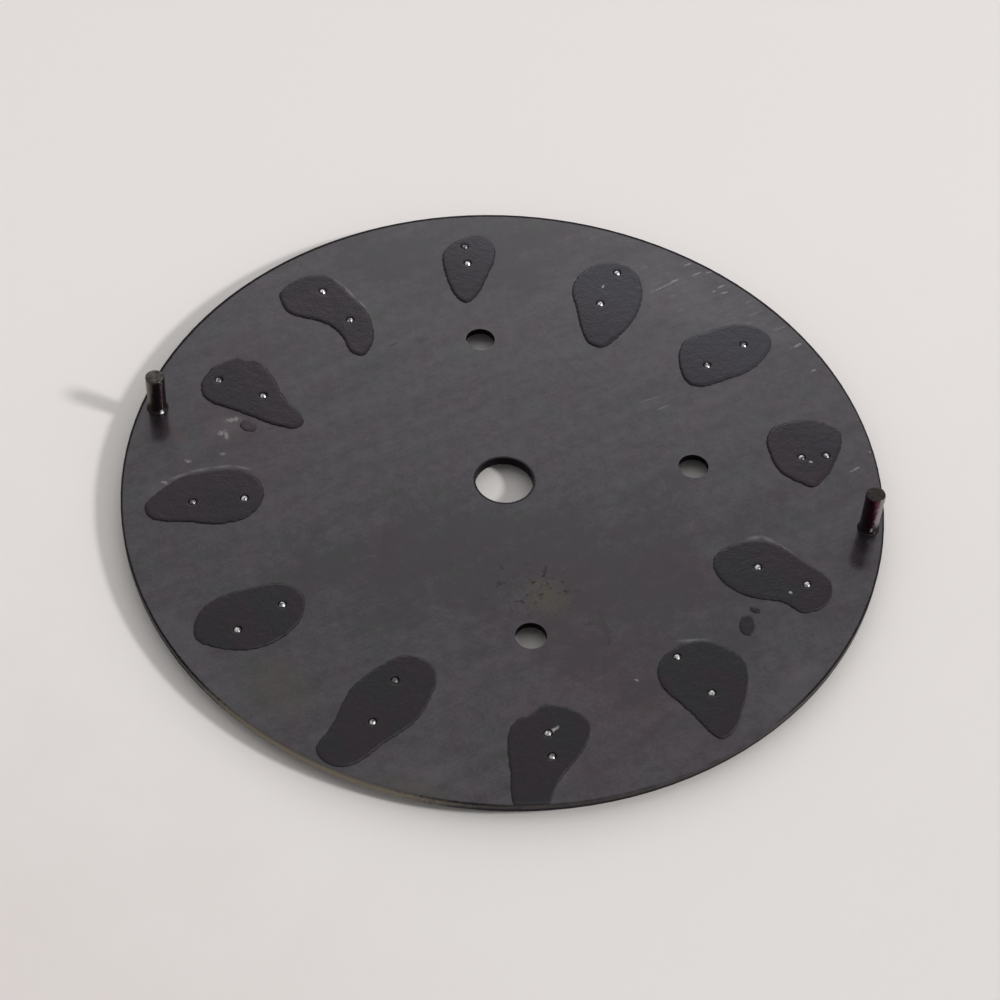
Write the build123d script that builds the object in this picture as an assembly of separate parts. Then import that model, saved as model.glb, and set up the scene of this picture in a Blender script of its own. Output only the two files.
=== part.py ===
from build123d import *
from math import cos, radians, sin
import os

# A three-counter chronograph dial, seen from its back: the dial lies on its face, its two feet point up.
# Millimetres. +Z comes out of the back, +Y points to 12 o'clock, and the origin is the middle of the
# centre hole on the back face. Seen from the back the hours run counter-clockwise, so 3 o'clock is at -X.

# The plate
dial_diameter = 30.0
plate_thickness = 0.4
rim_bevel = 0.04
centre_hole_diameter = 2.3

# The sunk counters at 12, 9 and 6 o'clock, each with a hole for its hand's post
counter_hours = (12, 9, 6)
counter_offset = 7.6
counter_hole_diameter = 1.2
counter_diameter = 7.2
counter_depth = 0.1
counter_wall_width = 0.06

# The applied hour markers: bevelled batons with two feet each, all with their outer ends on one circle
marker_rim_gap = 1.6
marker_width = 0.8
marker_height = 0.5
marker_bevel = 0.18
long_marker_length = 3.7
three_marker_length = 4.35
short_marker_length = 1.8
long_foot_pitch = 2.0
short_foot_pitch = 1.0
marker_foot_diameter = 0.26
marker_foot_tip_bevel = 0.05
marker_foot_clearance = 0.04
marker_foot_proud = 0.02

# The two dial feet, welded to the back and trimmed to their own lengths
dial_foot_diameter = 0.75
dial_foot_rim_gap = 0.3
dial_foot_tip_bevel = 0.05
weld_bead_width = 0.07
weld_bead_height = 0.08
foot_near_two_height = 1.8
foot_near_two_angle = 69.0
foot_near_eight_height = 2.2
foot_near_eight_angle = 254.6

# The lacquer that holds the markers' feet: one dab for each marker, laid on by hand
dab_thickness = 0.08
dab_edge_bevel = 0.05
dab_rim_gap = 0.05
dab_reach = 2.5
droplet_thickness = 0.05
droplet_edge_bevel = 0.03

# One overrun serves every cut that has to pass right through
overrun = 0.5

# Outline of each dab, as shares of dab_reach from the middle of its marker's feet: X to the right and
# Y to 12 o'clock, seen from the back.
dab_outline_shares = {
    12: [
        (0.20, 0.48), (0.40, 0.40), (0.50, 0.20), (0.50, -0.04), (0.40, -0.32),
        (0.24, -0.64), (0.12, -0.88), (0.00, -1.02), (-0.13, -1.09), (-0.25, -1.00),
        (-0.34, -0.80), (-0.40, -0.44), (-0.42, -0.12), (-0.38, 0.10), (-0.20, 0.30),
        (0.00, 0.42),
    ],
    1: [
        (-0.69, 0.62), (-0.49, 0.72), (-0.29, 0.75), (-0.11, 0.72), (0.03, 0.60),
        (0.27, 0.22), (0.49, -0.14), (0.56, -0.48), (0.55, -0.80), (0.47, -1.00),
        (0.33, -1.14), (0.19, -1.08), (0.09, -0.86), (-0.03, -0.56), (-0.23, -0.36),
        (-0.57, -0.20), (-0.75, -0.12), (-0.89, 0.12), (-0.91, 0.38),
    ],
    2: [
        (-0.32, 0.55), (-0.14, 0.63), (0.00, 0.67), (0.14, 0.60), (0.30, 0.58),
        (0.41, 0.45), (0.56, 0.13), (0.64, -0.15), (0.80, -0.47), (0.93, -0.67),
        (0.95, -0.81), (0.86, -0.91), (0.64, -0.89), (0.36, -0.76), (0.00, -0.53),
        (-0.40, -0.31), (-0.56, -0.19), (-0.64, 0.09), (-0.54, 0.35),
    ],
    3: [
        (-1.11, 0.06), (-1.01, 0.18), (-0.77, 0.38), (-0.55, 0.52), (-0.19, 0.60),
        (0.17, 0.62), (0.45, 0.56), (0.63, 0.38), (0.71, 0.10), (0.63, -0.14),
        (0.45, -0.34), (0.17, -0.44), (-0.15, -0.45), (-0.47, -0.37), (-0.83, -0.33),
        (-1.05, -0.24), (-1.13, -0.10),
    ],
    4: [
        (-0.98, -0.03), (-0.90, 0.17), (-0.64, 0.41), (-0.28, 0.53), (0.04, 0.59),
        (0.36, 0.61), (0.56, 0.51), (0.69, 0.27), (0.66, 0.05), (0.48, -0.25),
        (0.16, -0.48), (-0.22, -0.57), (-0.68, -0.48), (-0.94, -0.33), (-1.00, -0.19),
    ],
    5: [
        (0.40, 0.79), (0.58, 0.74), (0.73, 0.62), (0.81, 0.44), (0.79, 0.22),
        (0.67, -0.04), (0.39, -0.42), (-0.01, -0.68), (-0.33, -0.92), (-0.69, -1.06),
        (-0.93, -0.96), (-1.05, -0.72), (-0.91, -0.50), (-0.69, -0.16), (-0.49, 0.22),
        (-0.17, 0.52), (0.15, 0.71),
    ],
    6: [
        (0.08, 0.70), (0.30, 0.64), (0.52, 0.50), (0.63, 0.32), (0.58, 0.06),
        (0.40, -0.22), (0.14, -0.50), (-0.06, -0.80), (-0.24, -1.12), (-0.52, -1.16),
        (-0.66, -0.92), (-0.64, -0.52), (-0.62, -0.04), (-0.54, 0.32), (-0.40, 0.48),
        (-0.16, 0.58),
    ],
    7: [
        (-0.19, 0.52), (0.09, 0.61), (0.33, 0.59), (0.61, 0.42), (0.79, 0.20),
        (0.81, -0.04), (0.72, -0.40), (0.57, -0.74), (0.41, -1.02), (0.21, -1.14),
        (0.05, -1.02), (-0.11, -0.74), (-0.35, -0.40), (-0.51, -0.14), (-0.54, 0.10),
        (-0.45, 0.32), (-0.33, 0.44),
    ],
    8: [
        (-1.02, 0.23), (-1.00, 0.41), (-0.80, 0.61), (-0.48, 0.71), (-0.16, 0.70),
        (0.12, 0.55), (0.36, 0.27), (0.60, 0.03), (0.72, -0.21), (0.64, -0.51),
        (0.40, -0.69), (0.12, -0.68), (-0.06, -0.51), (-0.28, -0.43), (-0.68, -0.27),
        (-0.92, -0.04),
    ],
    9: [
        (-0.66, 0.50), (-0.52, 0.67), (-0.24, 0.76), (0.08, 0.79), (0.32, 0.70),
        (0.54, 0.48), (0.53, 0.28), (0.40, 0.00), (0.20, -0.32), (0.04, -0.49),
        (-0.14, -0.60), (-0.36, -0.48), (-0.56, -0.30), (-0.68, 0.04), (-0.70, 0.28),
    ],
    10: [
        (-0.80, -0.11), (-0.74, 0.19), (-0.60, 0.40), (-0.32, 0.51), (0.00, 0.62),
        (0.32, 0.68), (0.56, 0.63), (0.76, 0.47), (0.83, 0.27), (0.72, -0.01),
        (0.48, -0.26), (0.20, -0.43), (-0.20, -0.56), (-0.52, -0.64), (-0.70, -0.57),
        (-0.79, -0.35),
    ],
    11: [
        (-0.63, -0.12), (-0.57, 0.18), (-0.41, 0.40), (-0.15, 0.57), (0.13, 0.62),
        (0.37, 0.53), (0.52, 0.34), (0.57, 0.04), (0.53, -0.28), (0.37, -0.64),
        (0.13, -0.97), (-0.15, -1.22), (-0.33, -1.32), (-0.51, -1.22), (-0.60, -0.96),
        (-0.61, -0.56),
    ],
}

# Droplets that fell beside a dab: hour, then the middle, the half length and the half width as shares of
# dab_reach, and the turn of the length in degrees.
droplet_shares = [
    (2, 0.07, -0.81, 0.14, 0.11, -35),
    (8, -0.72, -0.86, 0.19, 0.12, 80),
    (8, -0.54, -0.59, 0.09, 0.05, -30),
]

# Worked out from the sizes above
dial_radius = dial_diameter / 2
front_z = -plate_thickness
marker_outer_radius = dial_radius - marker_rim_gap
marker_foot_radius = marker_foot_diameter / 2
marker_foot_hole_radius = marker_foot_radius + marker_foot_clearance
marker_foot_top = dab_thickness + marker_foot_proud
dial_foot_radius = dial_foot_diameter / 2
dial_foot_circle = dial_radius - dial_foot_rim_gap - dial_foot_radius
hours = range(1, 13)


def hour_angle(hour):
    """Degrees counter-clockwise from 12 o'clock, as the hours run on the back."""
    return 360 / len(hours) * hour


def on_dial(radius, angle, height=0):
    """The point at that radius, at an angle counted counter-clockwise from 12 o'clock."""
    turn = radians(angle)
    return Vector(-radius * sin(turn), radius * cos(turn), height)


def marker_size(hour):
    """Length and foot pitch of one hour's marker: the counters leave room for a short one only."""
    if hour in counter_hours:
        return short_marker_length, short_foot_pitch
    if hour == 3:
        return three_marker_length, long_foot_pitch
    return long_marker_length, long_foot_pitch


def marker_radius(hour):
    length, _ = marker_size(hour)
    return marker_outer_radius - length / 2


def marker_foot_points(hour):
    _, pitch = marker_size(hour)
    middle = marker_radius(hour)
    return [on_dial(middle + side * pitch / 2, hour_angle(hour)) for side in (-1, 1)]


def marker_foot_holes(radius, low, high):
    """One rod for each marker foot on the dial, to cut its hole."""
    places = [point for hour in hours for point in marker_foot_points(hour)]
    return [Pos(p.X, p.Y, low) * rod(radius, high - low) for p in places]


def rod(radius, height):
    """An upright rod that stands on the plane of its place."""
    return Cylinder(radius, height, align=(Align.CENTER, Align.CENTER, Align.MIN))


def counter_recess():
    """The shallow dish of one counter, its wall sloping outwards to the face."""
    mouth_radius = counter_diameter / 2
    floor_radius = mouth_radius - counter_wall_width
    return Cone(
        mouth_radius,
        floor_radius,
        counter_depth,
        align=(Align.CENTER, Align.CENTER, Align.MIN),
    )


def dial_plate():
    plate = Pos(0, 0, front_z) * rod(dial_radius, plate_thickness)
    rim_edges = plate.edges().filter_by(GeomType.CIRCLE)
    plate = chamfer(rim_edges, rim_bevel)
    through = plate_thickness + 2 * overrun
    plate -= Pos(0, 0, front_z - overrun) * rod(centre_hole_diameter / 2, through)
    for hour in counter_hours:
        middle = on_dial(counter_offset, hour_angle(hour), front_z)
        plate -= Pos(*middle) * counter_recess()
        low = Pos(middle.X, middle.Y, front_z - overrun)
        plate -= low * rod(counter_hole_diameter / 2, through)
    plate -= marker_foot_holes(marker_foot_hole_radius, front_z - overrun, overrun)
    return plate


def hour_marker(hour):
    """A baton under the dial's face, with its two feet up through the plate and the lacquer."""
    length, _ = marker_size(hour)
    turn = hour_angle(hour)
    baton = Box(marker_width, length, marker_height, align=(Align.CENTER, Align.CENTER, Align.MAX))
    show_face = baton.faces().sort_by(Axis.Z)[0]
    baton = chamfer(show_face.edges(), marker_bevel)
    marker = Pos(*on_dial(marker_radius(hour), turn, front_z)) * Rot(0, 0, turn) * baton
    for point in marker_foot_points(hour):
        foot = rod(marker_foot_radius, marker_foot_top - front_z)
        tip_edge = foot.edges().filter_by(GeomType.CIRCLE).sort_by(Axis.Z)[-1]
        foot = chamfer(tip_edge, marker_foot_tip_bevel)
        marker += Pos(point.X, point.Y, front_z) * foot
    return marker


def dial_foot(angle, height):
    """A round foot with a bevelled tip, in the bead of its weld."""
    profile = Polyline(
        (0, 0),
        (dial_foot_radius + weld_bead_width, 0),
        (dial_foot_radius, weld_bead_height),
        (dial_foot_radius, height - dial_foot_tip_bevel),
        (dial_foot_radius - dial_foot_tip_bevel, height),
        (0, height),
        close=True,
    )
    foot = revolve(Plane.XZ * make_face(profile), Axis.Z)
    return Pos(*on_dial(dial_foot_circle, angle)) * foot


def dab_middle(hour):
    return on_dial(marker_radius(hour), hour_angle(hour))


def film(outline, thickness, edge_bevel):
    """A film of that thickness whose upper edge slopes off."""
    sheet = extrude(outline, thickness)
    upper = sheet.faces().sort_by(Axis.Z)[-1]
    return chamfer(upper.edges(), edge_bevel)


def lacquer_dab(hour):
    middle = dab_middle(hour)
    points = [
        (middle.X + dab_reach * x_share, middle.Y + dab_reach * y_share)
        for x_share, y_share in dab_outline_shares[hour]
    ]
    outline = make_face(Spline(points, periodic=True))
    outline = outline & Circle(dial_radius - dab_rim_gap)
    dab = film(outline, dab_thickness, dab_edge_bevel)
    for point in marker_foot_points(hour):
        hole = Pos(point.X, point.Y, -overrun) * rod(marker_foot_hole_radius, dab_thickness + 2 * overrun)
        dab -= hole
    return [dab] + [droplet(*row) for row in droplet_shares if row[0] == hour]


def droplet(hour, x_share, y_share, length_share, width_share, turn):
    middle = dab_middle(hour)
    outline = Ellipse(dab_reach * length_share, dab_reach * width_share)
    drop = film(Rot(0, 0, turn) * outline, droplet_thickness, droplet_edge_bevel)
    return Pos(middle.X + dab_reach * x_share, middle.Y + dab_reach * y_share, 0) * drop


def solids_of(shape):
    shapes = shape if isinstance(shape, list) else [shape]
    return [solid for one in shapes for solid in one.solids()]


def write(node, shape):
    solids = solids_of(shape)
    export_step(solids[0] if len(solids) == 1 else Compound(children=solids), f"parts/{node}.step")


os.makedirs("parts", exist_ok=True)
write("dial_plate", dial_plate())
write("dial_foot_near_two", dial_foot(foot_near_two_angle, foot_near_two_height))
write("dial_foot_near_eight", dial_foot(foot_near_eight_angle, foot_near_eight_height))
for hour in hours:
    write(f"hour_marker_{hour:02d}", hour_marker(hour))
    write(f"lacquer_dab_{hour:02d}", lacquer_dab(hour))
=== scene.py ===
import math

import bpy
from mathutils import Matrix, Quaternion, Vector


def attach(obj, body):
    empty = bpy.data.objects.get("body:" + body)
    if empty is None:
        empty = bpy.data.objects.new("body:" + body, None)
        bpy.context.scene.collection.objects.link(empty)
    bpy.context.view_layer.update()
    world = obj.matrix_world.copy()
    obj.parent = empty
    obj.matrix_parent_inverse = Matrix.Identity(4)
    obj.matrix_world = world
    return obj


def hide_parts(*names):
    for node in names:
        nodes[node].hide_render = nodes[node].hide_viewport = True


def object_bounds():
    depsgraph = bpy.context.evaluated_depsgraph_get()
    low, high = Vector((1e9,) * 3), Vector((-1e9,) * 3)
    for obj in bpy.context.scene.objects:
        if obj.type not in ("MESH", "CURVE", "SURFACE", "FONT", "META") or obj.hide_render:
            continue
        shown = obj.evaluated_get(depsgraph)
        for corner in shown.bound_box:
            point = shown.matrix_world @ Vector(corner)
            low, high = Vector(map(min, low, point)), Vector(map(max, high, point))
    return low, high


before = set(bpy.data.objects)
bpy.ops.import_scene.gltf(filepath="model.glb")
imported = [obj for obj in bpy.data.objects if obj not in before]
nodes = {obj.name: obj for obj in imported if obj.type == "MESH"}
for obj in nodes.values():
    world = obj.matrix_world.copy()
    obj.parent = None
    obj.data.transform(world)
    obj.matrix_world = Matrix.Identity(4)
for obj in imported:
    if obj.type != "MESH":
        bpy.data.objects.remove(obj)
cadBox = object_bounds()
mm = 0.001  # pieces are modelled in millimetres and shrunk to metres when they are done
hours = range(1, 13)
print("frame loaded:", len(nodes), "nodes")


# A wire is one socket, so that masks read as sums and products

class Wire:
    def __init__(self, tree, socket):
        self.tree = tree
        self.socket = socket

    def math(self, operation, *values):
        return self.tree.node("ShaderNodeMath", {"operation": operation}, dict(enumerate(values)))

    def __add__(self, other):
        return self.math("ADD", self, other)

    def __sub__(self, other):
        return self.math("SUBTRACT", self, other)

    def __rsub__(self, other):
        return self.math("SUBTRACT", other, self)

    def __mul__(self, other):
        return self.math("MULTIPLY", self, other)

    def __pow__(self, other):
        return self.math("POWER", self, other)

    __radd__ = __add__
    __rmul__ = __mul__

    def atMost(self, other):
        return self.math("MINIMUM", self, other)

    def atLeast(self, other):
        return self.math("MAXIMUM", self, other)

    def ramp(self, low, high, atLow=0.0, atHigh=1.0):
        # smooth step from atLow to atHigh while this wire goes from low to high
        return self.tree.node(
            "ShaderNodeMapRange",
            {"interpolation_type": "SMOOTHSTEP"},
            {0: self, 1: low, 2: high, 3: atLow, 4: atHigh},
        )


class Nodes:
    def __init__(self, owner):
        owner.use_nodes = True
        self.tree = owner.node_tree
        self.tree.nodes.clear()

    def node(self, kind, settings=None, inputs=None, output=0):
        made = self.tree.nodes.new(kind)
        for key, value in (settings or {}).items():
            setattr(made, key, value)
        for key, value in (inputs or {}).items():
            socket = made.inputs[key]
            if isinstance(value, Wire):
                self.tree.links.new(value.socket, socket)
            else:
                socket.default_value = (*value, 1) if socket.type == "RGBA" else value
        return Wire(self, made.outputs[output]) if len(made.outputs) else None


class Finish(Nodes):
    def __init__(self, name):
        self.material = bpy.data.materials.new(name)
        super().__init__(self.material)
        inputs = {0: self.node("ShaderNodeTexCoord", output="Object"), "Scale": 1 / mm}
        self.place = self.node("ShaderNodeVectorMath", {"operation": "SCALE"}, inputs)
        axes = [self.node("ShaderNodeSeparateXYZ", {}, {0: self.place}, axis) for axis in "XYZ"]
        self.x, self.y, self.z = axes

    def rising(self):
        # 1 where the surface faces up, -1 where it faces down
        geometry = self.node("ShaderNodeNewGeometry", output="Normal")
        return self.node("ShaderNodeSeparateXYZ", {}, {0: geometry}, "Z")

    def moved(self, at=(0, 0, 0), turn=0.0, size=(1, 1, 1)):
        # the place as seen from a small frame at that point, turned and sized in millimetres
        rotation = (0, 0, math.radians(turn))
        inputs = {"Vector": self.place, "Location": at, "Rotation": rotation, "Scale": size}
        return self.node("ShaderNodeMapping", {"vector_type": "TEXTURE"}, inputs)

    def away(self, x, y, halfLength=1.0, halfWidth=1.0, turn=0.0):
        # distance from an upright axis, counted in half lengths and half widths
        flat = self.moved((x, y, 0), turn, (halfLength, halfWidth, 1e6))
        return self.node("ShaderNodeVectorMath", {"operation": "LENGTH"}, {0: flat}, "Value")

    def noise(self, scale=1.0, detail=3.0, roughness=0.5, **ownFrame):
        # with at, turn or size, the noise has a frame of its own
        where = self.moved(**ownFrame) if ownFrame else self.place
        inputs = {"Vector": where, "Scale": scale, "Detail": detail, "Roughness": roughness}
        return self.node("ShaderNodeTexNoise", {}, inputs)

    def spots(self, rows, inner=0.5, wobble=0.0):
        # 1 inside ellipses, given as x, y, half length, half width and turn, and 0 outside them
        nearest = None
        for row in rows:
            away = self.away(*row)
            nearest = nearest.atMost(away) if nearest else away
        return (nearest + wobble).ramp(1, inner)

    def blend(self, mask, below, above):
        return self.node("ShaderNodeMix", {"data_type": "RGBA"}, {0: mask, 6: below, 7: above}, 2)

    def bump(self, height, strength, depth):
        inputs = {"Height": height, "Strength": strength, "Distance": depth * mm}
        return self.node("ShaderNodeBump", {}, inputs)

    def shader(self, **sockets):
        # a socket's name in camel case, such as baseColor, stands for the name with spaces
        inputs = {}
        for key, value in sockets.items():
            spaced = key[0].upper() + "".join(" " + c if c.isupper() else c for c in key[1:])
            inputs[spaced.replace("Ior", "IOR")] = value
        made = self.node("ShaderNodeBsdfPrincipled", {}, inputs)
        self.node("ShaderNodeOutputMaterial", {}, {"Surface": made})
        return self.material


def paint(piece, material):
    piece.data.materials.clear()
    piece.data.materials.append(material)


# Modelling helpers

mergeDistance = 0.0005


def deselectAll():
    if bpy.context.object and bpy.context.object.mode != "OBJECT":
        bpy.ops.object.mode_set(mode="OBJECT")
    bpy.ops.object.select_all(action="DESELECT")


def choose(*pieces):
    deselectAll()
    for piece in pieces:
        piece.select_set(True)
    bpy.context.view_layer.objects.active = pieces[0]


def applyTransforms(piece):
    choose(piece)
    bpy.ops.object.transform_apply(location=True, rotation=True, scale=True)


def modify(piece, kind, **settings):
    # adds a modifier and applies it
    choose(piece)
    modifier = piece.modifiers.new(kind.title(), kind)
    for key, value in settings.items():
        setattr(modifier, key, value)
    bpy.ops.object.modifier_apply(modifier=modifier.name)


def mergeDoubles(piece):
    choose(piece)
    bpy.ops.object.mode_set(mode="EDIT")
    bpy.ops.mesh.select_all(action="SELECT")
    bpy.ops.mesh.remove_doubles(threshold=mergeDistance)
    bpy.ops.object.mode_set(mode="OBJECT")


def copyOfNode(nodeName, name):
    # a merged copy of a CAD node, in millimetres
    piece = bpy.data.objects.new(name, nodes[nodeName].data.copy())
    bpy.context.scene.collection.objects.link(piece)
    piece.scale = (1 / mm,) * 3
    applyTransforms(piece)
    mergeDoubles(piece)
    return piece


def joined(pieces, name):
    choose(*pieces)
    bpy.ops.object.join()
    pieces[0].name = name
    return pieces[0]


def finishPiece(piece, material, smoothAngle=40):
    # from millimetres to metres, with the place in the mesh
    applyTransforms(piece)
    piece.scale = (mm,) * 3
    applyTransforms(piece)
    bpy.ops.object.shade_smooth_by_angle(angle=math.radians(smoothAngle))
    paint(piece, material)
    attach(piece, "root")


def hourPlace(radius, hour, z=0.0):
    # hours run counter-clockwise when the dial is seen from its back
    turn = math.radians(30 * hour)
    return Vector((-radius * math.sin(turn), radius * math.cos(turn), z))


def pinPlaces(hour):
    # the two feet of one marker, from what stands above the back face
    outwards = hourPlace(1, hour)
    tops = [v.co / mm for v in nodes[f"hour_marker_{hour:02d}"].data.vertices if v.co.z > 0]
    middle = sum(p.dot(outwards) for p in tops) / len(tops)
    places = []
    for isInner in (True, False):
        ends = [p for p in tops if (p.dot(outwards) < middle) == isInner]
        low = Vector([min(p[axis] for p in ends) for axis in (0, 1)])
        high = Vector([max(p[axis] for p in ends) for axis in (0, 1)])
        places.append((low + high) / 2)
    return places


# Camera, from the photo's rim, holes and pin ends

camera = {
    "azimuth": -10.55,
    "elevation": 50.72,
    "roll": 3.97,
    "distance": 92.15,
    "target": (-0.307, -0.990, 0.0),
    "lens": 84.72,
    "sensor": 36.0,
    "clip": (0.001, 10),
}


def makeCamera():
    turn = math.radians(camera["azimuth"])
    rise = math.radians(camera["elevation"])
    level = math.cos(rise)
    back = Vector((math.sin(turn) * level, -math.cos(turn) * level, math.sin(rise)))
    bpy.ops.object.camera_add(location=(Vector(camera["target"]) + back * camera["distance"]) * mm)
    made = bpy.context.object
    made.name = "photoCamera"
    made.rotation_mode = "QUATERNION"
    roll = Quaternion((0, 0, 1), math.radians(camera["roll"]))
    made.rotation_quaternion = back.to_track_quat("Z", "Y") @ roll
    made.data.lens = camera["lens"]
    made.data.sensor_width = camera["sensor"]
    made.data.clip_start, made.data.clip_end = camera["clip"]
    bpy.context.scene.camera = made


# Light: a window at the right, in a pale room that is brighter beyond the dial than before it

light = {
    "direction": (1.21, -0.64, 1.0),
    "distance": 800.0,
    "size": 110.0,
    "power": 3.3,
    "color": (1.0, 0.99, 0.985),
}

room = {
    "base": 0.55,
    "gradient": (0.06, 0.0, 0.0),
    "patches": {
        "beyond": {"direction": (0.186, 0.846, 0.5), "tightness": 30.0, "strength": 1.42},
        "overhead": {"direction": (0.0, 0.0, 1.0), "tightness": 12.0, "strength": 0.47},
        "before": {"direction": (-0.116, -0.622, 0.774), "tightness": 14.0, "strength": -0.41},
    },
    "color": (1.0, 0.995, 0.99),
}


def makeLight():
    towards = Vector(light["direction"]).normalized()
    bpy.ops.object.light_add(type="AREA", location=towards * light["distance"] * mm)
    window = bpy.context.object
    window.name = "windowLight"
    window.rotation_mode = "QUATERNION"
    window.rotation_quaternion = towards.to_track_quat("Z", "Y")
    window.data.shape = "DISK"
    window.data.size = light["size"] * mm
    window.data.energy = light["power"]
    window.data.color = light["color"]


def makeRoom():
    world = bpy.data.worlds.new("paleRoom")
    bpy.context.scene.world = world
    air = Nodes(world)
    towards = air.node("ShaderNodeTexCoord", output="Generated")

    def facing(direction):
        inputs = {0: towards, 1: direction}
        return air.node("ShaderNodeVectorMath", {"operation": "DOT_PRODUCT"}, inputs, "Value")

    strength = facing(Vector(room["gradient"])) + room["base"]
    for patch in room["patches"].values():
        towardsPatch = facing(Vector(patch["direction"]).normalized())
        strength = strength + towardsPatch.atLeast(0) ** patch["tightness"] * patch["strength"]
    inputs = {"Color": room["color"], "Strength": strength}
    background = air.node("ShaderNodeBackground", {}, inputs)
    air.node("ShaderNodeOutputWorld", {}, {"Surface": background})


# Floor: the pale sheet that the dial lies on, under the markers' faces

floor = {
    "size": 1200.0,
    # near and far: painted light, the sheet coloured brighter beyond the dial than before it; corner:
    # darker and pinker towards the lower left
    "near": (0.772, 0.741, 0.722),
    "far": (0.836, 0.797, 0.783),
    "corner": (0.742, 0.692, 0.676),
    "nearToFar": (-18.0, 24.0),  # y
    "toCorner": (-14, -36),  # x + y
    "cloud": {"scale": 0.35, "detail": 4.0, "roughness": 0.6},
    "cloudReach": 12,
    "grain": {"scale": 2.5, "detail": 3.0},
    "grainStrength": 0.15,
    "grainDepth": 0.05,
    "roughness": 0.75,
}


def makeFloor():
    finish = Finish("paleSheet")
    drift = finish.noise(**floor["cloud"]) * floor["cloudReach"]
    grain = finish.noise(**floor["grain"])
    # painted light: the colour grows brighter from near to far
    color = finish.blend((finish.y + drift).ramp(*floor["nearToFar"]), floor["near"], floor["far"])
    corner = (finish.x + finish.y + drift).ramp(*floor["toCorner"])
    material = finish.shader(
        baseColor=finish.blend(corner, color, floor["corner"]),
        roughness=floor["roughness"],
        normal=finish.bump(grain, floor["grainStrength"], floor["grainDepth"]),
    )
    bpy.ops.mesh.primitive_plane_add(size=floor["size"] * mm, location=(0, 0, cadBox[0].z))
    made = bpy.context.object
    made.name = "floor"
    applyTransforms(made)
    paint(made, material)


# Plate: blackened brass, brushed at a slant, with what handling and the movement left on it, and with
# painted shade and painted highlights among its marks.
# A row of a mark is x, y, half length, half width and turn, in millimetres and degrees. The plate comes
# out black with more than about 73 Mapping nodes: each row takes one, and 72 are used in all.

grainTurn = 22.0

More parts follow.
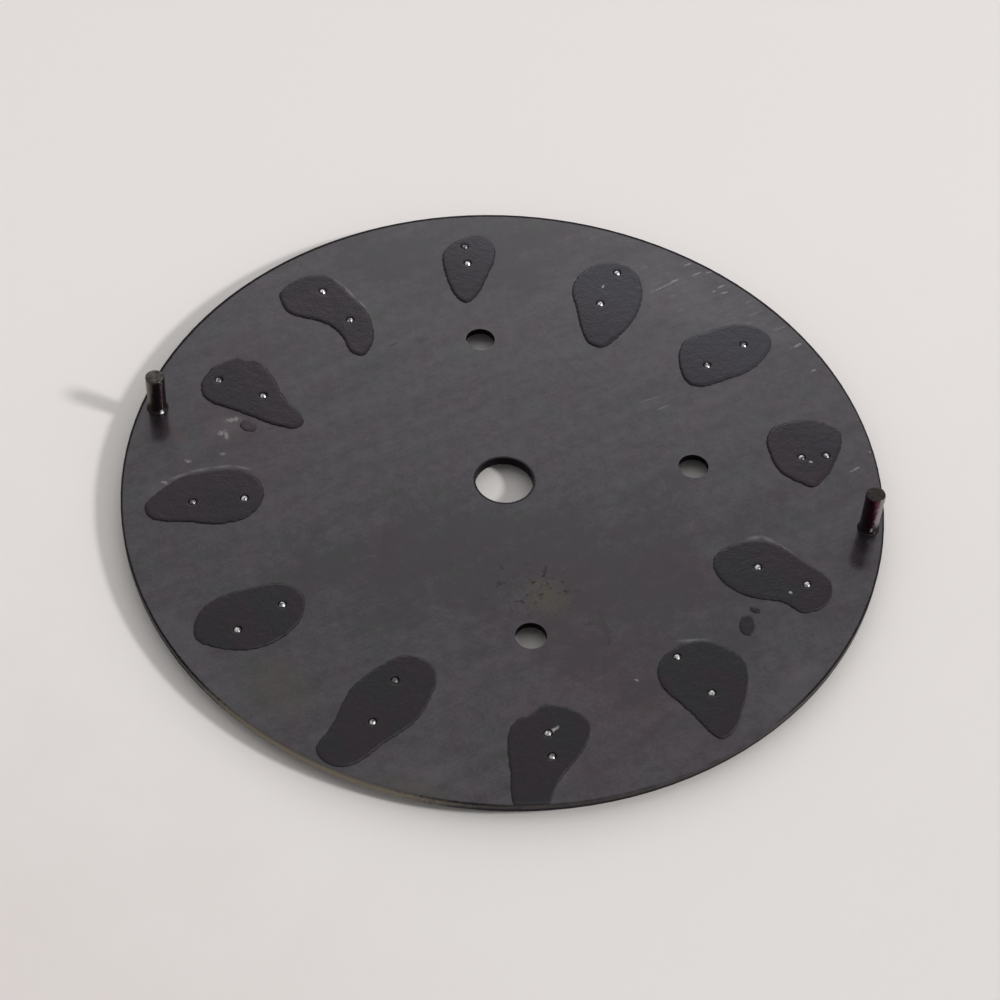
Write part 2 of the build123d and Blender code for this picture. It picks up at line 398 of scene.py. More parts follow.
plate = {
    "gray": (0.0650, 0.0565, 0.0675),
    "grayDeep": (0.0330, 0.0282, 0.0345),
    "purple": (0.0650, 0.0475, 0.0580),
    "purpleDeep": (0.0350, 0.0240, 0.0310),
    "green": (0.0570, 0.0580, 0.0610),
    "greenDeep": (0.0300, 0.0315, 0.0330),
    "hidden": (0.006, 0.006, 0.0065),
    # painted shade: hole walls near black
    "holeWall": (0.003, 0.002, 0.002),
    "rimDark": (0.032, 0.027, 0.029),
    "rimPale": (0.054, 0.046, 0.049),
    "metallic": 0.92,
    "roughness": 0.27,
    "roughnessShares": {"mottle": 0.14, "flecks": 0.2, "wall": 0.3},
    "mattShares": {"flecks": 0.8, "crumbs": 0.5, "rimGloss": 0.2},
    "coatRoughness": 0.14,
    "brushed": {"turn": grainTurn, "size": (1.3, 0.14, 1.0), "detail": 4.0, "roughness": 0.65},
    "bands": {"turn": grainTurn, "size": (6.5, 0.9, 1.0), "detail": 3.0, "roughness": 0.55},
    "mottle": {"scale": 1.9, "detail": 5.0, "roughness": 0.7},
    "broad": {"scale": 0.35, "detail": 4.0, "roughness": 0.6},
    "tints": {"at": (40, 0, 0), "scale": 0.8, "detail": 4.0, "roughness": 0.6},
    "gritty": {"scale": 9.0, "detail": 3.0, "roughness": 0.6},
    "crumbly": {"at": (-41.1, 0.7, 0), "scale": 3.2, "detail": 4.0, "roughness": 0.6},
    "wobble": 2.6,
    "drift": 2.4,
    "toneShares": {
        "brushed": 0.12,
        "bands": 0.24,
        "mottle": 0.41,
        "gritty": 0.23,
        "pale": 0.04,
        "dark": 0.12,
    },
    "toneRange": (0.36, 0.64),
    "warmTints": (0.52, 0.66),
    "warmTintStrength": 0.6,
    "coolTints": (0.46, 0.36),
    "coolStrength": 0.7,
    "coolInWarm": 0.5,
    "streakBrushed": (0.56, 0.66),
    "streakMottle": (0.44, 0.58),
    "stainWobble": 2.0,
    "stainGrit": (0.35, 0.55),
    "crumbGrit": (0.57, 0.64),
    "rimPatches": (0.4, 0.6),
    "upRange": (-0.5, 0.5),
    "steep": (0.8, 0.7),  # a normal's height where a wall starts and where it is all wall
    "downRange": (-0.8, -0.9),
    "outside": (14.4, 14.5),  # the radius from which a wall is the rim and not a hole
    "ringPitch": 0.12,
    "ringReach": 3.52,
    "ringFade": 0.02,
    "relief": {"brushed": 0.3, "mottle": 0.4, "gritty": 0.4, "rings": 0.5},
    "reliefStrength": 0.3,
    "reliefDepth": 0.012,
    "lines": {
        "color": (0.006, 0.004, 0.006),
        "strength": 0.92,
        "oliveRimLoss": 0.67,
        "edgeRadius": (14.88, 14.93),
        "edgeHeight": (-0.06, -0.04),
        "edgeWidening": (-2, 13, -0.02, 0.06),  # from one y to the other, and what each adds to the radius
        "edgeGrit": 0.1,
        # painted shade: the lower part of the rim wall drawn dark at the rim's foot
        "footHeight": (-0.16, -0.22),
        "footGrit": 0.04,
        "holeRadius": (1.30, 1.23),
        "holeGrit": 0.08,
        "holeStrength": 0.85,
    },
    "marks": {
        # painted shade: broad darker areas across the middle, at the lower right and at the top of the
        # plate
        "dark": {
            "inner": 0.1,
            "rows": [
                (-1.0, -3.6, 14.0, 4.4, 6),
                (4.6, -6.0, 7.5, 6.5, 0),
                (0.0, 12.8, 9.5, 3.6, 0),
            ],
        },
        "warm": {
            "inner": 0.3,
            "rows": [
                (2.4, -9.6, 4.6, 6.4, 0),
                (-9.7, 4.5, 2.3, 5.6, 0),
                (-5.1, -2.8, 1.0, 1.7, 0),
                (6.5, -5.2, 3.4, 1.6, -20),
            ],
        },
        "pale": {
            "color": (0.135, 0.125, 0.134),
            "strength": 0.12,
            "inner": 0.1,
            "rows": [
                (9.6, 8.9, 4.6, 2.2, -38),
                (-10.6, 3.8, 0.9, 0.7, 10),
                (-13.6, 0.6, 1.6, 0.7, -80),
                (-12.4, -7.2, 4.0, 1.1, -60),
                (9.9, -10.5, 3.4, 1.2, 43),
                (-4.6, -13.3, 2.6, 1.0, -17),
            ],
        },
        "streaks": {
            "color": (0.135, 0.125, 0.134),
            "strength": 0.6,
            "inner": 0.1,
            "rows": [(9.6, 8.9, 4.6, 2.2, -38)],
        },
        "red": {
            "color": (0.080, 0.040, 0.048),
            "strength": 0.5,
            "inner": 0.1,
            "rows": [(-12.7, 3.5, 0.8, 0.4, -50)],
        },
        "stain": {
            "color": (0.054, 0.046, 0.022),
            "strength": 0.85,
            "inner": 0.1,
            "rows": [(0.85, -5.85, 1.3, 1.1, -61)],
        },
        "crumbs": {
            "color": (0.010, 0.007, 0.008),
            "strength": 0.75,
            "inner": 0.2,
            "rows": [(0.5, -5.5, 2.2, 1.6, -30)],
        },
        "rimStain": {
            "color": (0.060, 0.052, 0.034),
            "strength": 0.4,
            "inner": 0.1,
            "rows": [
                (-14.05, 3.25, 0.55, 0.22, -67),
                (-5.2, -13.7, 2.6, 0.6, -21),
                (-9.4, -8.9, 2.2, 1.5, -45),
            ],
        },
        "smudges": {
            "color": (0.016, 0.012, 0.014),
            "strength": 0.55,
            "inner": 0.2,
            "rows": [
                (1.12, -5.00, 0.28, 0.10, -6),
                (0.66, -5.42, 0.26, 0.08, 44),
                (2.83, -7.58, 1.10, 0.22, -84),
                (2.26, -7.28, 0.30, 0.12, 0),
                (-2.58, -3.94, 0.16, 0.10, -46),
                (-2.47, 7.80, 0.45, 0.22, 10),
                (-3.65, 7.62, 0.40, 0.15, 25),
            ],
        },
        # painted highlights: light lines on the plate along the dabs' upper edges
        "edgeHighlights": {
            "color": (0.17, 0.16, 0.165),
            "strength": 0.6,
            "inner": 0.0,
            "wobble": 0.4,
            "rows": [
                (-12.70, 1.40, 0.58, 0.10, 22),
                (-11.86, 1.64, 0.62, 0.10, 10),
                (-10.96, 1.72, 0.62, 0.10, 1),
                (-10.18, 1.60, 0.50, 0.10, -21),
                (-5.67, 11.47, 0.52, 0.10, -45),
                (-5.13, 10.75, 0.66, 0.10, -60),
                (-4.69, 10.04, 0.44, 0.08, -55),
                (9.34, -3.80, 0.50, 0.14, 8),
                (9.86, -3.95, 0.50, 0.14, -36),
                (10.38, -4.48, 0.66, 0.14, -48),
                (6.05, -8.42, 0.90, 0.13, -4),
            ],
        },
        "faintScratches": {
            "color": (0.20, 0.19, 0.195),
            "strength": 0.35,
            "inner": 0.1,
            "rows": [
                (11.74, 8.06, 0.48, 0.05, 22),
                (12.61, 7.12, 0.44, 0.06, 13),
                (6.93, 3.19, 0.41, 0.07, 21),
                (6.46, 3.68, 0.64, 0.05, 14),
                (11.60, 8.75, 0.35, 0.05, 22),
            ],
        },
        "scratches": {
            "color": (0.24, 0.23, 0.23),
            "strength": 0.75,
            "inner": 0.2,
            "rows": [
                (8.16, 9.96, 0.88, 0.04, 26),
                (8.68, 10.25, 0.26, 0.08, 21),
                (9.69, 10.57, 0.35, 0.05, 24),
                (10.22, 10.61, 0.25, 0.05, 15),
                (10.59, 9.74, 0.23, 0.07, 25),
                (10.63, 9.35, 0.23, 0.06, 12),
                (10.24, 9.49, 0.14, 0.05, 19),
                (9.42, 11.17, 0.28, 0.05, 19),
                (13.13, 6.08, 0.29, 0.08, 23),
                (13.50, 4.64, 0.17, 0.06, 23),
                (14.04, -0.76, 0.32, 0.05, 27),
            ],
        },
        "flecks": {
            "color": (0.30, 0.285, 0.285),
            "strength": 0.7,
            "inner": 0.2,
            "rows": [
                (-10.42, 4.14, 0.38, 0.14, 9),
                (-10.93, 3.47, 0.20, 0.15, -31),
                (-10.74, 3.34, 0.30, 0.13, -84),
                (-10.93, 2.38, 0.16, 0.10, -5),
                (-12.30, 2.14, 0.15, 0.11, -5),
                # this row is a painted glint on the plate, the others pale flecks
                (-13.26, 1.12, 0.20, 0.09, -30),
                (3.62, -9.99, 0.11, 0.07, -25),
                (14.82, 0.06, 0.07, 0.06, 0),
            ],
        },
        # the rim wall lighter and olive at its lower left
        "oliveWall": {
            "color": (0.195, 0.170, 0.132),
            "inner": 0.4,
            "wobble": 0.3,
            "rows": [(-8.6, -12.4, 7.0, 4.2, -35)],
        },
        "wrapped": {
            "inner": 0.6,
            "rows": [(4.5, -15.0, 8.5, 5.0, 0)],
        },
    },
}


def plateFinish():
    finish = Finish("blackenedBrass")
    lines, marks = plate["lines"], plate["marks"]
    up = finish.rising()
    brushed = finish.noise(**plate["brushed"])
    bands = finish.noise(**plate["bands"])
    mottle = finish.noise(**plate["mottle"])
    broad = finish.noise(**plate["broad"])
    tints = finish.noise(**plate["tints"])
    gritty = finish.noise(**plate["gritty"])
    crumbly = finish.noise(**plate["crumbly"])
    wobble = (gritty - 0.5) * plate["wobble"]
    drift = (broad - 0.5) * plate["drift"]

    def maskOf(name, sway):
        mark = marks[name]
        return finish.spots(mark["rows"], mark["inner"], sway * mark.get("wobble", 1))

    def marked(below, name, mask):
        return finish.blend(mask * marks[name]["strength"], below, marks[name]["color"])

    # three hues, each from deep to full with the same tone
    # the dark mask is painted shade, darker tone in broad areas
    pale, dark = maskOf("pale", drift), maskOf("dark", drift)
    shares = plate["toneShares"]
    tone = brushed * shares["brushed"] + bands * shares["bands"] + mottle * shares["mottle"]
    tone = tone + gritty * shares["gritty"] + pale * shares["pale"] - dark * shares["dark"]
    tone = tone.ramp(*plate["toneRange"])
    color = finish.blend(tone, plate["grayDeep"], plate["gray"])
    warmTint = tints.ramp(*plate["warmTints"]) * plate["warmTintStrength"]
    warm = maskOf("warm", drift).atLeast(warmTint)
    color = finish.blend(warm, color, finish.blend(tone, plate["purpleDeep"], plate["purple"]))
    cool = tints.ramp(*plate["coolTints"]) * (plate["coolStrength"] - warm * plate["coolInWarm"])
    color = finish.blend(cool, color, finish.blend(tone, plate["greenDeep"], plate["green"]))

    # the marks, one kind over the other
    color = marked(color, "pale", pale)
    streaks = brushed.ramp(*plate["streakBrushed"]) * mottle.ramp(*plate["streakMottle"])
    color = marked(color, "streaks", maskOf("streaks", drift) * streaks)
    color = marked(color, "red", maskOf("red", wobble))
    stain = maskOf("stain", (mottle - 0.5) * plate["stainWobble"])
    color = marked(color, "stain", stain * gritty.ramp(*plate["stainGrit"]))
    crumbs = maskOf("crumbs", drift) * crumbly.ramp(*plate["crumbGrit"])
    color = marked(color, "crumbs", crumbs)
    color = marked(color, "rimStain", maskOf("rimStain", drift))
    # the light lines along the dabs' upper edges are painted highlights; the others are real marks
    for name in ("smudges", "edgeHighlights", "faintScratches", "scratches"):
        color = marked(color, name, maskOf(name, wobble))
    flecks = maskOf("flecks", wobble) * up.ramp(*plate["upRange"])
    color = marked(color, "flecks", flecks)

    # the walls: painted shade in the holes, near black; at the rim dark and pale in patches, lighter and
    # olive at its lower left
    radius = finish.away(0, 0)
    outside = radius.ramp(*plate["outside"])
    steep, upright = plate["steep"]
    wall = up.ramp(steep, upright) * up.ramp(-steep, -upright)
    oliveRim = maskOf("oliveWall", wobble)
    rimColor = finish.blend(mottle.ramp(*plate["rimPatches"]), plate["rimDark"], plate["rimPale"])
    rimColor = finish.blend(oliveRim, rimColor, marks["oliveWall"]["color"])
    color = finish.blend(wall, color, finish.blend(outside, plate["holeWall"], rimColor))

    # dark lines: where the back face meets the rim, at the rim's foot as painted shade, and round the
    # centre hole
    widening = finish.y.ramp(*lines["edgeWidening"])
    roughRadius = radius + widening + (gritty - 0.5) * lines["edgeGrit"]
    edgeLine = roughRadius.ramp(*lines["edgeRadius"]) * finish.z.ramp(*lines["edgeHeight"])
    roughHeight = finish.z + gritty * lines["footGrit"]
    footLine = wall * outside * roughHeight.ramp(*lines["footHeight"]) * (1 - oliveRim)
    holeLine = (radius + gritty * lines["holeGrit"]).ramp(*lines["holeRadius"])
    line = edgeLine * (1 - maskOf("wrapped", 0)) + footLine + holeLine * lines["holeStrength"]
    line = line.atMost(1) * (lines["strength"] - oliveRim * lines["oliveRimLoss"])
    color = finish.blend(line, color, lines["color"])

    # the hidden face: satin black, with fine rings turned in the counters
    down = up.ramp(*plate["downRange"])
    color = finish.blend(down, color, plate["hidden"])
    rings = None
    for hour in prints["scales"]:
        middle = hourPlace(prints["counterOffset"], hour)
        away = finish.away(middle.x, middle.y)
        wave = away.math("SINE", away * (2 * math.pi / plate["ringPitch"]))
        wave = wave * away.ramp(plate["ringReach"], plate["ringReach"] - plate["ringFade"])
        rings = rings + wave if rings else wave
    shares = plate["relief"]
    relief = brushed * shares["brushed"] + mottle * shares["mottle"] + gritty * shares["gritty"]
    relief = relief * (1 - down) + rings * down * shares["rings"]

    shares = plate["roughnessShares"]
    roughness = mottle * shares["mottle"] + plate["roughness"]
    roughness = roughness + flecks * shares["flecks"] + wall * shares["wall"]
    shares = plate["mattShares"]
    matt = (flecks * shares["flecks"]).atLeast(crumbs * shares["crumbs"])
    matt = matt.atLeast(wall * (1 - outside * shares["rimGloss"])).atLeast(down).atLeast(line)
    return finish.shader(
        baseColor=color,
        metallic=(1 - down) * plate["metallic"],
        roughness=roughness,
        coatWeight=1 - matt,
        coatRoughness=plate["coatRoughness"],
        normal=finish.bump(relief, plate["reliefStrength"], plate["reliefDepth"]),
    )


# Lacquer: the flat dabs and droplets of the solids, with their upper edges worn soft

film = {
    "voxel": 0.03,
    "growth": 2.0,
    "footing": 0.025,
    "softening": 14,
    "softeningStep": 0.5,
    "pinMargin": 0.4,
    "rimMargin": 14.5,
    "crumbleDepth": 0.09,
    "crumbleSizes": {"X": 0.16, "Y": 0.20},
    "color": (0.0068, 0.0040, 0.0090),
    "brown": (0.0112, 0.0048, 0.0090),
    # painted shade: the dabs nearer the front are darker
    "nearShade": (0.0004, 0.0022, 0.0020),
    "nearShadeBrown": (0.0042, 0.0004, 0.0022),
    "nearRange": (-1, -7),  # y
    "nearStrength": 0.8,
    # painted reflection: the dabs towards the far right are lighter
    "farReflection": (0.022, 0.025, 0.033),
    "farWay": (0.9, 1.1),  # the shares of x and y in the way to the far right
    "farRange": (11, 17),
    "farStrength": 0.7,
    # painted light: the sloping edges of the near dabs lighter
    "nearEdgeLight": (0.018, 0.016, 0.017),
    "nearEdgeRange": (-1, -6),  # y
    "nearEdgeStrength": 0.8,
    "cloud": {"scale": 0.5, "detail": 3.0},
    "ripple": {"scale": 3.0, "detail": 4.0, "roughness": 0.6},
    "gritty": {"scale": 9.0, "detail": 3.0, "roughness": 0.6},
    "brownPatches": (0.42, 0.58),
    "brownRipple": 0.3,
    "slope": (0.985, 0.90),
    "roughness": 0.16,
    "roughnessShares": {"ripple": 0.16, "sloping": 0.45},
    "specular": 0.42,
    "tint": (1.0, 0.955, 1.01),
    "relief": {"ripple": 0.6, "gritty": 0.4},
    "reliefStrength": 0.8,
    "reliefDepth": 0.032,
    "thinSpots": {
        "color": (0.030, 0.019, 0.024),
        "strength": 0.8,
        "inner": 0.8,
        "rows": [
            (-9.75, 3.68, 0.42, 0.34, -35),
            (8.93, -7.98, 0.55, 0.42, 80),
            (9.31, -7.43, 0.35, 0.25, -30),
        ],
    },
    # painted glints: small bright spots on the dabs
    "paintedGlints": {
        "color": (0.30, 0.29, 0.29),
        "strength": 0.9,
        "inner": 0.4,
        "wobble": 2,
        "rows": [
            (10.14, -6.61, 0.10, 0.07, 0),
            (12.31, -0.28, 0.09, 0.07, -14),
            (0.21, -11.92, 0.30, 0.08, 32),
            (5.55, 10.10, 0.10, 0.05, 60),
        ],
    },
}


def lacquerFinish():
    finish = Finish("darkLacquer")
    cloud = finish.noise(**film["cloud"])
    ripple = finish.noise(**film["ripple"])
    gritty = finish.noise(**film["gritty"])
    brown = (cloud + (ripple - 0.5) * film["brownRipple"]).ramp(*film["brownPatches"])
    color = finish.blend(brown, film["color"], film["brown"])
    # painted shade on the near dabs and painted reflection on the far right ones
    nearShade = finish.blend(brown, film["nearShade"], film["nearShadeBrown"])
    color = finish.blend(finish.y.ramp(*film["nearRange"]) * film["nearStrength"], color, nearShade)
    farAway = finish.x * film["farWay"][0] + finish.y * film["farWay"][1]
    farAway = farAway.ramp(*film["farRange"]) * film["farStrength"]
    color = finish.blend(farAway, color, film["farReflection"])
    thin, paintedGlints = film["thinSpots"], film["paintedGlints"]
    thinMask = finish.spots(thin["rows"], thin["inner"])
    color = finish.blend(thinMask * thin["strength"], color, thin["color"])
    # painted glints as pale spots on the films
    glintMask = finish.spots(paintedGlints["rows"], paintedGlints["inner"], (gritty - 0.5) * paintedGlints["wobble"])
    color = finish.blend(glintMask * paintedGlints["strength"], color, paintedGlints["color"])
    sloping = finish.rising().ramp(*film["slope"])
    # the sloping edges of the near dabs get a painted lighter colour
    nearEdgeLight = sloping * finish.y.ramp(*film["nearEdgeRange"]) * film["nearEdgeStrength"]
    shares = film["roughnessShares"]
    return finish.shader(
        baseColor=finish.blend(nearEdgeLight, color, film["nearEdgeLight"]),
        roughness=ripple * shares["ripple"] + film["roughness"] + sloping * shares["sloping"],
        specularIorLevel=film["specular"],
        specularTint=film["tint"],
        normal=finish.bump(
            ripple * film["relief"]["ripple"] + gritty * film["relief"]["gritty"],
            film["reliefStrength"],
            film["reliefDepth"],
        ),
    )


def makeFilm(hour, material):
    # grown taller for the remesh, so that the thin film stands several voxels high
    node = f"lacquer_dab_{hour:02d}"
    piece = copyOfNode(node, f"film_{hour:02d}")
    piece.scale.z = film["growth"]
    applyTransforms(piece)
    modify(piece, "REMESH", mode="VOXEL", voxel_size=film["voxel"])
    upper = piece.vertex_groups.new(name="upper")
    footing = film["footing"] * film["growth"]
    upper.add([v.index for v in piece.data.vertices if v.co.z > footing], 1, "REPLACE")
    modify(
        piece,
        "SMOOTH",
        factor=film["softeningStep"],
        iterations=film["softening"],
        vertex_group="upper",
    )
    pins = pinPlaces(hour)
    edge = piece.vertex_groups.new(name="edge")
    for vertex in piece.data.vertices:
        clear = min((vertex.co.xy - pin).length for pin in pins) > film["pinMargin"]
        if clear and vertex.co.xy.length < film["rimMargin"]:
            edge.add([vertex.index], 1, "REPLACE")
    for direction, size in film["crumbleSizes"].items():
        crumble = bpy.data.textures.new(f"{node}_edge_{direction}", "CLOUDS")
        crumble.noise_scale = size
        modify(
            piece,
            "DISPLACE",
            texture=crumble,
            texture_coords="LOCAL",
            direction=direction,
            strength=film["crumbleDepth"],
            vertex_group="edge",
        )
    mergeDoubles(piece)
    piece.scale.z = 1 / film["growth"]
    finishPiece(piece, material)
    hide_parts(node)


# Markers: polished batons on the hidden face, whose feet show as small bright pin ends

marker = {
    "color": (0.80, 0.79, 0.77),
    "dull": (0.71, 0.70, 0.68),
    "dullPatches": (0.35, 0.7),
    "pinEnd": (0.62, 0.61, 0.61),
    "pinDark": (0.12, 0.11, 0.115),
    "pinPatches": (0.54, 0.44),
    "pinHeight": (-0.1, 0.0),  # z
    "scuff": {"scale": 9.0, "detail": 3.0},
    "crumb": {"scale": 6.0, "detail": 3.0},
    "roughness": 0.12,
    "roughnessShares": {"scuff": 0.15, "pinEnd": 0.12},
    "reliefShare": 0.3,  # how much of the pin ends' relief the batons have
    "reliefStrength": 0.3,
    "reliefDepth": 0.02,
}


def markerFinish():
    finish = Finish("platedMarker")
    scuff = finish.noise(**marker["scuff"])
    crumb = finish.noise(**marker["crumb"])
    cutEnd = finish.z.ramp(*marker["pinHeight"])
    color = finish.blend(scuff.ramp(*marker["dullPatches"]), marker["color"], marker["dull"])
    color = finish.blend(cutEnd, color, marker["pinEnd"])
    color = finish.blend(cutEnd * crumb.ramp(*marker["pinPatches"]), color, marker["pinDark"])
    shares = marker["roughnessShares"]
    relief = scuff * (cutEnd * (1 - marker["reliefShare"]) + marker["reliefShare"])
    return finish.shader(
        baseColor=color,
        metallic=1.0,
        roughness=scuff * shares["scuff"] + marker["roughness"] + cutEnd * shares["pinEnd"],
        normal=finish.bump(relief, marker["reliefStrength"], marker["reliefDepth"]),
    )


# Dial feet: oxidised pins in the crumbly bead of their weld, trimmed askew with nippers.
# Each ring is its height and its radius, as shares of the foot's own, in order from the plate.

foot = {
    "turns": {"dial_foot_near_two": 0, "dial_foot_near_eight": 130},
    "sides": 64,
    "rings": [
        (0.000, 1.17),
        (0.012, 1.15),
        (0.026, 1.08),
        (0.040, 1.01),
        (0.060, 0.985),
        (0.300, 0.975),
        (0.600, 0.985),
        (0.800, 1.000),
        (0.900, 1.010),
        (0.955, 1.005),
        (0.978, 0.970),
        (0.988, 0.880),
        (0.988, 0.500),
    ],
    "cutTilt": 2.0,
    "cutFrom": 0.900,
    "smoothness": 2,
    "smoothAngle": 60,
    "pitSize": 0.16,
    "pitDepth": 0.022,
    "pitLevel": 0.6,
    "skin": (0.070, 0.056, 0.057),
    "red": (0.085, 0.024, 0.038),
    "redPatches": (0.42, 0.6),
    "redAcross": (-8, 8, 0.3, 1.0),  # from one foot's x to the other's, and the share of each
    "cap": (0.085, 0.080, 0.073),
    "capGrit": (0.45, 0.65),
    "capDark": (0.038, 0.034, 0.032),
    "capRight": (0.030, 0.024, 0.025),
    "capAcross": (-8, 8, 0, 0.7),
    "capSlope": (0.3, 0.8),
    "capHeight": (0.5, 0.6),
    "bead": (0.022, 0.017, 0.019),
    "beadHeight": (0.20, 0.13),
    "beadGrit": 0.1,
    "beadStrength": 0.85,
    "olive": {
        "color": (0.120, 0.100, 0.066),
        "strength": 0.8,
        "inner": 0.4,
        "rows": [(-13.80, 5.0, 0.30, 0.60, 0)],
    },
    # painted light: the lit right side of the foot at the right, paler and less metallic
    "pale": {
        "color": (0.20, 0.17, 0.185),
        "strength": 0.9,
        "inner": 0.6,
        "slope": (0.5, 0.3),
        "height": (0.3, 0.8),
        "rows": [(14.14, -4.0, 0.32, 0.70, 0)],
    },
    "glint": {
        "color": (0.60, 0.57, 0.58),
        "inner": 0.5,
        "above": (-0.04, 0.0),
        "below": (0.25, 0.12),
        "across": (-8, 8, 0, 0.24),  # the glint of the foot at the right sits higher
        "rows": [(-13.21, 4.70, 0.10, 0.08, 0), (13.86, -4.18, 0.10, 0.08, 0)],
    },
    "metallicLoss": {"pale": 0.8, "glint": 0.6},
    "cloud": {"scale": 1.6, "detail": 3.0},
    "crisp": {"scale": 6.0, "detail": 4.0, "roughness": 0.6},
    "roughness": 0.20,
    "roughnessShares": {"crisp": 0.2, "bead": 0.25, "pale": 0.2, "glint": 0.15},
    "reliefStrength": 0.4,
    "reliefDepth": 0.03,
}


def footFinish():
    finish = Finish("oxidisedFoot")
    up = finish.rising()
    cloud = finish.noise(**foot["cloud"])
    crisp = finish.noise(**foot["crisp"])
    wobble = crisp - 0.5
    redness = cloud.ramp(*foot["redPatches"]) * finish.x.ramp(*foot["redAcross"])
    color = finish.blend(redness, foot["skin"], foot["red"])
    olive, pale, glint = foot["olive"], foot["pale"], foot["glint"]
    oliveSide = finish.spots(olive["rows"], olive["inner"], wobble) * olive["strength"]
    color = finish.blend(oliveSide, color, olive["color"])
    # painted light on the lit side of the right foot
    litSide = finish.spots(pale["rows"], pale["inner"], wobble)
    litSide = litSide * up.ramp(*pale["slope"]) * finish.z.ramp(*pale["height"])
    color = finish.blend(litSide * pale["strength"], color, pale["color"])
    capColor = finish.blend(crisp.ramp(*foot["capGrit"]), foot["cap"], foot["capDark"])
    capColor = finish.blend(finish.x.ramp(*foot["capAcross"]), capColor, foot["capRight"])
    atCap = up.ramp(*foot["capSlope"]) * finish.z.ramp(*foot["capHeight"])
    color = finish.blend(atCap, color, capColor)
    atBead = (finish.z + crisp * foot["beadGrit"]).ramp(*foot["beadHeight"])
    color = finish.blend(atBead * foot["beadStrength"], color, foot["bead"])
    height = finish.z - finish.x.ramp(*glint["across"])
    atGlint = finish.spots(glint["rows"], glint["inner"], wobble)
    atGlint = atGlint * height.ramp(*glint["above"]) * height.ramp(*glint["below"])
    color = finish.blend(atGlint, color, glint["color"])
    loss = foot["metallicLoss"]
    shares = foot["roughnessShares"]
    roughness = crisp * shares["crisp"] + foot["roughness"] + atBead * shares["bead"]
    roughness = roughness + litSide * shares["pale"] - atGlint * shares["glint"]
    return finish.shader(
        baseColor=color,
        metallic=1 - litSide * loss["pale"] - atGlint * loss["glint"],
        roughness=roughness,
        normal=finish.bump(crisp, foot["reliefStrength"], foot["reliefDepth"]),
    )


def makeFoot(node, turn, material):
    # the cap is extruded ring by ring, so the skin stays one closed mesh
    corners = [v.co / mm for v in nodes[node].data.vertices]
    low = Vector([min(c[axis] for c in corners) for axis in range(3)])
    high = Vector([max(c[axis] for c in corners) for axis in range(3)])
    middle = (low + high) / 2
    height = high.z - low.z
    bodyRadius = (high.x - low.x) / 2 / foot["rings"][0][1]
    deselectAll()
    bpy.ops.mesh.primitive_circle_add(
        vertices=foot["sides"],
        radius=bodyRadius * foot["rings"][0][1],
        fill_type="NGON",
    )
    piece = bpy.context.object
    piece.name = node + "_skin"
    bpy.ops.object.mode_set(mode="EDIT")
    bpy.ops.mesh.select_all(action="SELECT")
    for (before, wide), (after, narrow) in zip(foot["rings"], foot["rings"][1:]):
        rise = (after - before) * height
        shrink = narrow / wide
        bpy.ops.mesh.extrude_region_move(TRANSFORM_OT_translate={"value": (0, 0, rise)})
        bpy.ops.transform.resize(value=(shrink, shrink, 1), center_override=(0, 0, after * height))
    bpy.ops.mesh.select_all(action="SELECT")
    bpy.ops.mesh.normals_make_consistent(inside=False)
    bpy.ops.object.mode_set(mode="OBJECT")
    for vertex in piece.data.vertices:
        vertex.select = vertex.co.z > height * foot["cutFrom"]
    bpy.ops.object.mode_set(mode="EDIT")
    bpy.ops.mesh.select_mode(type="VERT")
    bpy.ops.transform.rotate(
        value=math.radians(foot["cutTilt"]),
        orient_axis="X",
        center_override=(0, 0, height * foot["rings"][-1][0]),
    )
    bpy.ops.object.mode_set(mode="OBJECT")
    modify(piece, "SUBSURF", levels=foot["smoothness"])
    pits = bpy.data.textures.new(node + "_pits", "CLOUDS")
    pits.noise_scale = foot["pitSize"]
    modify(
        piece,
        "DISPLACE",
        texture=pits,
        texture_coords="LOCAL",
        strength=foot["pitDepth"],
        mid_level=foot["pitLevel"],
    )
    piece.rotation_euler.z = math.radians(turn)
    piece.location = (middle.x, middle.y, low.z)
    applyTransforms(piece)
    for vertex in piece.data.vertices:
        vertex.co.z = max(vertex.co.z, low.z)  # the pits leave the plate's face alone
    finishPiece(piece, material, foot["smoothAngle"])
    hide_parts(node)


# Print on the hidden face: a minute track, and plain scales in the counters

prints = {
    "thickness": 0.008,
    "face": -0.4,
    "counterFace": -0.3,
    "counterOffset": 7.6,
    "ink": (0.74, 0.74, 0.71),
    "thinInk": (0.66, 0.66, 0.63),
    "inkPatches": (0.3, 0.7),
    "cloud": {"scale": 3.0, "detail": 3.0},
    "roughness": 0.42,
    "roughnessShare": 0.1,
    "track": {
        "outer": 14.55,
        "splits": 300,
        "splitsPerMinute": 5,
        "splitsPerFifth": 25,
        "fifth": 0.75,
        "minute": 0.55,
        "split": 0.3,
        "width": 0.06,
        "splitWidth": 0.035,
    },
    "scales": {
        12: {"marks": 30, "numbers": ("30", "10", "20"), "every": 5},
        9: {"marks": 60, "numbers": ("60", "15", "30", "45"), "every": 5},
        6: {"marks": 24, "numbers": ("12", "3", "6", "9"), "every": 2},
    },
    "scaleOuter": 3.4,
    "longMark": 0.5,
    "shortMark": 0.28,
    "markWidth": 0.05,
    "numberRadius": 2.25,
    "numberSize": 1.0,
    "numberSteps": 3,
}


def printFinish():
    finish = Finish("whitePrint")
    cloud = finish.noise(**prints["cloud"])
    return finish.shader(
        baseColor=finish.blend(cloud.ramp(*prints["inkPatches"]), prints["ink"], prints["thinInk"]),
        roughness=cloud * prints["roughnessShare"] + prints["roughness"],
    )


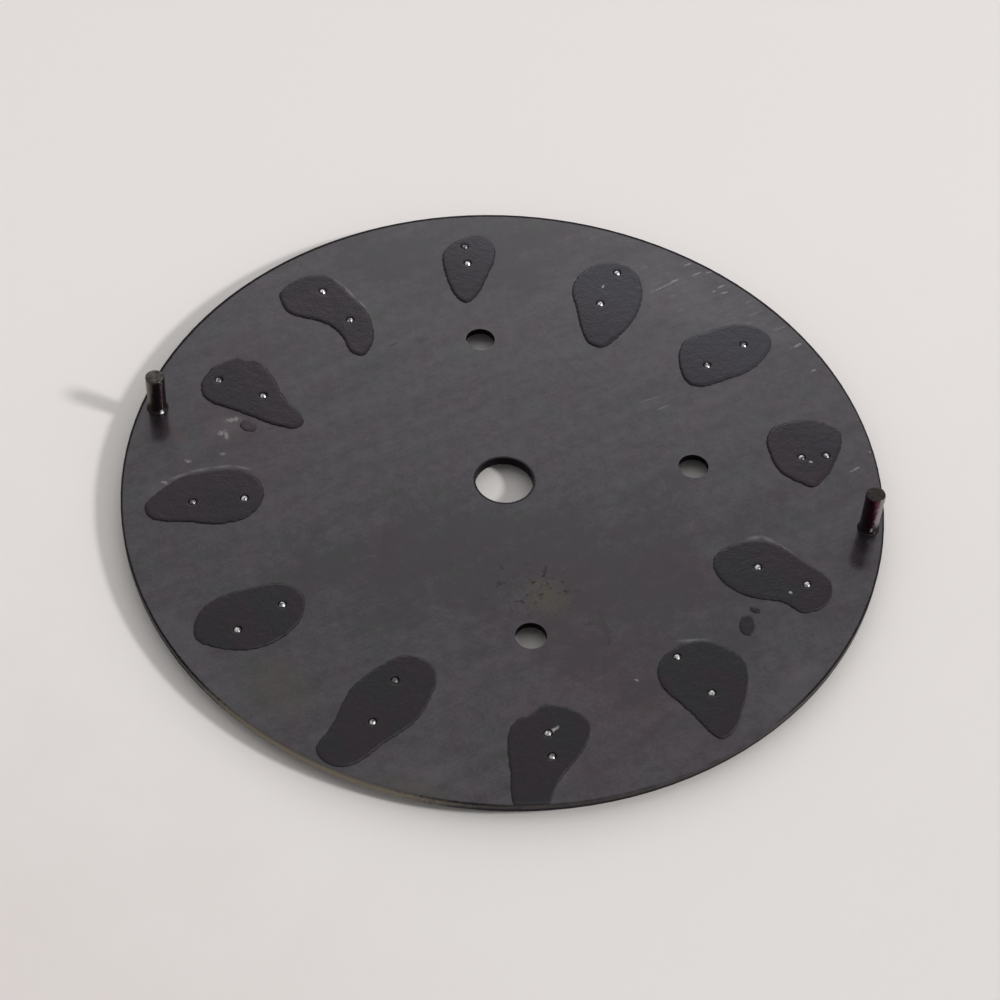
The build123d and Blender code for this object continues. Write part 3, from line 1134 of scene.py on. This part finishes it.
def printedMark(outer, length, width, turn, middle, z):
    # a flat bar along the spoke at that turn about middle
    deselectAll()
    bpy.ops.mesh.primitive_cube_add(size=1)
    mark = bpy.context.object
    size = Matrix.Diagonal((width, length, prints["thickness"], 1))
    along = Matrix.Translation((0, outer - length / 2, 0))
    about = Matrix.Translation((middle.x, middle.y, z - prints["thickness"] / 2))
    mark.data.transform(about @ Matrix.Rotation(turn, 4, "Z") @ along @ size)
    return mark


def printedNumber(text, place):
    # readable from the front, where +X is on the left
    deselectAll()
    bpy.ops.object.text_add()
    number = bpy.context.object
    number.data.body = text
    number.data.size = prints["numberSize"]
    number.data.align_x = "CENTER"
    number.data.align_y = "CENTER"
    number.data.extrude = prints["thickness"] / 2
    number.data.resolution_u = prints["numberSteps"]
    choose(number)
    bpy.ops.object.convert(target="MESH")
    number = bpy.context.object
    number.data.transform(Matrix.Translation(place) @ Matrix.Rotation(math.pi, 4, "Y"))
    return number


def makeTrack(material):
    track = prints["track"]
    centre = Vector((0, 0, 0))
    bars = []
    for index in range(track["splits"]):
        length, width = track["split"], track["splitWidth"]
        if index % track["splitsPerMinute"] == 0:
            length, width = track["minute"], track["width"]
        if index % track["splitsPerFifth"] == 0:
            length = track["fifth"]
        turn = 2 * math.pi * index / track["splits"]
        bars.append(printedMark(track["outer"], length, width, turn, centre, prints["face"]))
    finishPiece(joined(bars, "minute_track"), material)


def makeScale(hour, material):
    scale = prints["scales"][hour]
    middle = hourPlace(prints["counterOffset"], hour)
    face, outer, width = prints["counterFace"], prints["scaleOuter"], prints["markWidth"]
    bars = []
    for index in range(scale["marks"]):
        length = prints["shortMark"] if index % scale["every"] else prints["longMark"]
        turn = 2 * math.pi * index / scale["marks"]
        bars.append(printedMark(outer, length, width, turn, middle, face))
    for index, text in enumerate(scale["numbers"]):
        hourOfNumber = 12 * index / len(scale["numbers"])
        around = hourPlace(prints["numberRadius"], hourOfNumber, face - prints["thickness"] / 2)
        bars.append(printedNumber(text, middle + around))
    finishPiece(joined(bars, f"counter_scale_{hour:02d}"), material)


# The making

makeCamera()
makeLight()
makeRoom()
makeFloor()
print("camera, light and floor made")

paint(nodes["dial_plate"], plateFinish())
markerMaterial = markerFinish()
for hour in hours:
    paint(nodes[f"hour_marker_{hour:02d}"], markerMaterial)
print("plate and markers finished")

footMaterial = footFinish()
for node, turn in foot["turns"].items():
    makeFoot(node, turn, footMaterial)
print("dial feet made")

lacquerMaterial = lacquerFinish()
for hour in hours:
    makeFilm(hour, lacquerMaterial)
print("lacquer films made")

printMaterial = printFinish()
makeTrack(printMaterial)
for hour in prints["scales"]:
    makeScale(hour, printMaterial)
print("hidden face printed")

view = bpy.context.scene.view_settings
view.view_transform = "Standard"
